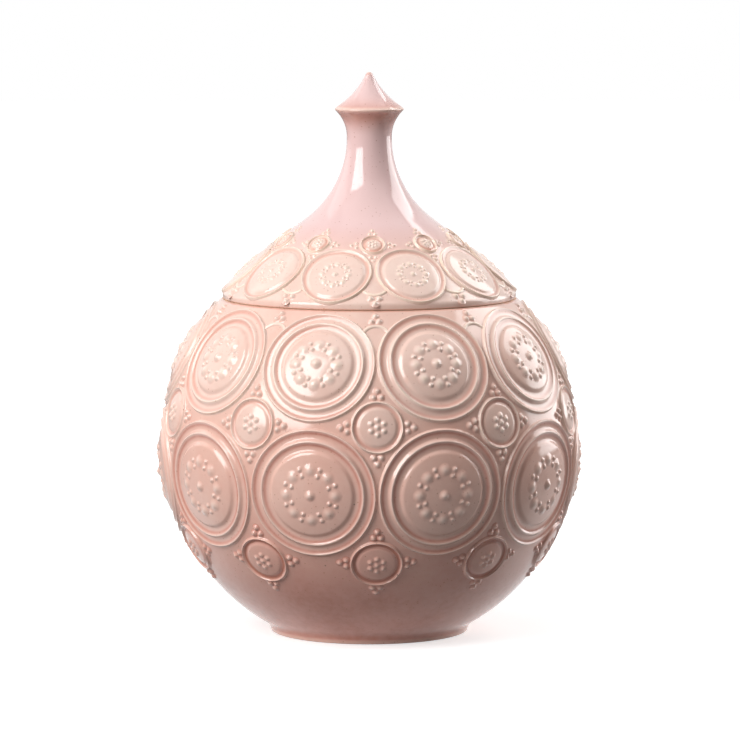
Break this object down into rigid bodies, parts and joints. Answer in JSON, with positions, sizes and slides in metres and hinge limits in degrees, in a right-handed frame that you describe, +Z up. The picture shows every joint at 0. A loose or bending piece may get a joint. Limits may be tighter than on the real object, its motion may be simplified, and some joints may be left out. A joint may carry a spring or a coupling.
{
  "type": "lidded powder jar",
  "caption": "Globe-shaped glazed ceramic jar on a low foot ring, with ring-and-bead relief and a lift-off ogee lid that ends in a pointed finial.",
  "frame": {"origin": "middle of the foot ring's underside, on the jar's axis", "axes": "+Z up the jar's axis to the point of the finial, -Y to the front, where a column of rosettes stands a little to the right"},
  "size_m": [0.1518, 0.1498, 0.1998],
  "materials": {
    "pink_glaze": "semi-gloss speckled glaze, paler where it thins over the relief",
    "bare_clay": "unglazed, wiped"
  },
  "bodies": {
    "jar": {"globe": "pink_glaze", "foot_ring": "pink_glaze", "upper_roundels": "pink_glaze", "lower_roundels": "pink_glaze", "middle_rosettes": "pink_glaze", "lower_rosettes": "pink_glaze", "shoulder_arches": "pink_glaze", "jar_bead_triads": "pink_glaze"},
    "lid": {"lid_dome": "pink_glaze", "lid_flange": "bare_clay", "lid_finial": "pink_glaze", "lid_roundels": "pink_glaze", "lid_rosettes": "pink_glaze", "lid_arches": "pink_glaze", "lid_bead_triads": "pink_glaze"}
  },
  "joints": [
    {"name": "lid_lift", "type": "slide", "parent": "jar", "child": "lid", "axis": [0, 0, 1], "range_m": [0, 0.1]}
  ]
}
